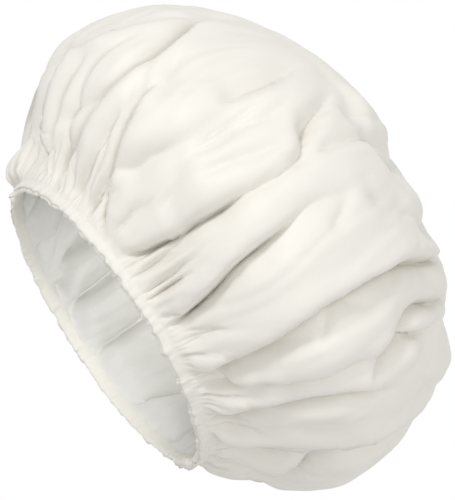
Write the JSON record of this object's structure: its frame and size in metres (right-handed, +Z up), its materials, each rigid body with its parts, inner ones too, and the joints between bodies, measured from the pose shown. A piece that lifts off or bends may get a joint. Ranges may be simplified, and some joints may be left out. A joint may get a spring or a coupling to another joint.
{
  "type": "shampoo cap",
  "caption": "Soft gathered shampoo cap: a puffed, absorbent dome of cloth with a ruffled elastic hem that grips the head while hair is washed inside.",
  "frame": {"origin": "centre of the head opening, in the plane of the rim", "axes": "+Z up through the crown, -X towards the front of the cap, +Y to its right-hand side; the cap stands on its rim"},
  "size_m": [0.2898, 0.2899, 0.181],
  "materials": {
    "coated_cloth": "ivory coated cloth with a soft satin sheen",
    "fleece": "matt white absorbent fleece",
    "lining": "matt off-white soft lining cloth",
    "elastic": "matt knitted elastic braid",
    "thread": "ivory spun sewing thread"
  },
  "bodies": {
    "root": {"outer_shell": "coated_cloth", "absorbent_wadding": "fleece", "inner_liner": "lining", "hem_binding": "coated_cloth", "elastic_band": "elastic", "elastic_tack_thread": "thread", "hem_needle_thread": "thread", "hem_bobbin_thread": "thread"}
  },
  "joints": []
}
